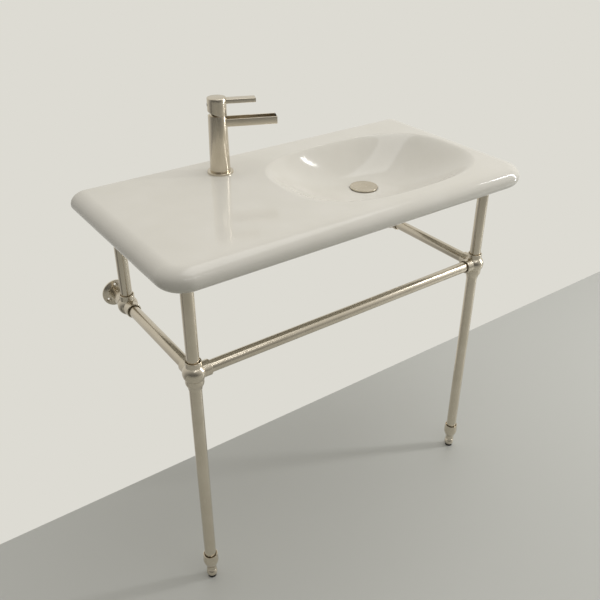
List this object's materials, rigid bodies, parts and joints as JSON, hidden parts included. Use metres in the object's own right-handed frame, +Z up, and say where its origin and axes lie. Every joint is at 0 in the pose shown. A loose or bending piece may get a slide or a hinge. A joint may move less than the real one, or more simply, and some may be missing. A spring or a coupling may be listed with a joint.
{
  "type": "console basin",
  "caption": "Wide wall-mounted ceramic basin with an oval bowl beside a single-lever mixer, on a satin nickel tube console with ball joints and levelling feet.",
  "frame": {"origin": "midway between the two wall-bolt holes, on the wall plane", "axes": "+X right along the wall, +Y into the wall, +Z up"},
  "size_m": [0.915, 0.45, 1.018],
  "materials": {
    "glaze": "glossy white glaze",
    "satin_nickel": "satin nickel plate",
    "black_rubber": "matte",
    "black_plastic": "matte",
    "disc_ceramic": "polished ceramic",
    "plain_brass": "machined",
    "stainless_steel": "machined"
  },
  "bodies": {
    "console": {"basin": "glaze", "basin_rest_pads": "black_rubber", "cartridge_base_seal": "black_rubber", "cartridge_fixed_disc": "disc_ceramic", "cartridge_housing": "black_plastic", "cartridge_nut": "plain_brass", "cartridge_shroud": "satin_nickel", "click_mechanism": "black_plastic", "front_rail": "satin_nickel", "left_foot_cup": "satin_nickel", "left_front_joint": "satin_nickel", "left_lower_leg": "satin_nickel", "left_rear_tee": "satin_nickel", "left_rear_upright": "satin_nickel", "left_side_rail": "satin_nickel", "left_upper_leg": "satin_nickel", "left_wall_flange": "satin_nickel", "left_wall_stub": "satin_nickel", "leg_top_caps": "black_plastic", "right_foot_cup": "satin_nickel", "right_front_joint": "satin_nickel", "right_lower_leg": "satin_nickel", "right_rear_tee": "satin_nickel", "right_rear_upright": "satin_nickel", "right_side_rail": "satin_nickel", "right_upper_leg": "satin_nickel", "right_wall_flange": "satin_nickel", "right_wall_stub": "satin_nickel", "socket_set_screws": "stainless_steel", "tap_base_ring": "satin_nickel", "tap_base_seal": "black_rubber", "tap_body": "satin_nickel", "tap_clamp_washer": "plain_brass", "tap_lock_nut": "plain_brass", "tap_rubber_washer": "black_rubber", "tap_shank": "plain_brass", "tap_spout": "satin_nickel", "waste_body": "satin_nickel", "waste_flange_seal": "black_rubber", "waste_lock_nut": "plain_brass", "waste_under_washer": "black_rubber"},
    "mixer_carrier": {"cartridge_carrier": "black_plastic", "spindle_pin": "stainless_steel"},
    "mixer_handle": {"mixer_spindle": "plain_brass", "tap_cap": "satin_nickel", "tap_lever": "satin_nickel", "cap_grub_screw": "stainless_steel", "cap_plug": "black_plastic"},
    "mixing_disc": {"cartridge_moving_disc": "disc_ceramic"},
    "stopper": {"stopper_cover": "satin_nickel", "stopper_stem": "plain_brass", "stopper_seal": "black_rubber"},
    "left_foot": {"left_levelling_foot": "satin_nickel", "left_foot_pad": "black_rubber"},
    "right_foot": {"right_levelling_foot": "satin_nickel", "right_foot_pad": "black_rubber"}
  },
  "joints": [
    {"name": "tap_turn", "type": "hinge", "parent": "console", "child": "mixer_carrier", "pos_m": [-0.138, -0.0745, 0.19], "axis": [0, 0, 1], "range_deg": [-45, 45]},
    {"name": "tap_lift", "type": "hinge", "parent": "mixer_carrier", "child": "mixer_handle", "pos_m": [-0.138, -0.0745, 0.19], "axis": [-0.3907, -0.9205, 0], "range_deg": [0, 20]},
    {"name": "disc_shift", "type": "slide", "parent": "mixer_carrier", "child": "mixing_disc", "axis": [0.9205, -0.3907, 0], "range_m": [0, 0.00281]},
    {"name": "stopper_lift", "type": "slide", "parent": "console", "child": "stopper", "axis": [0, 0, 1], "range_m": [0, 0.008]},
    {"name": "left_foot_levelling", "type": "slide", "parent": "console", "child": "left_foot", "axis": [0, 0, -1], "range_m": [0, 0.015]},
    {"name": "right_foot_levelling", "type": "slide", "parent": "console", "child": "right_foot", "axis": [0, 0, -1], "range_m": [0, 0.015]}
  ],
  "couplings": [
    {"joint": "disc_shift", "follows": "tap_lift", "m_per_rad": 0.008034}
  ]
}
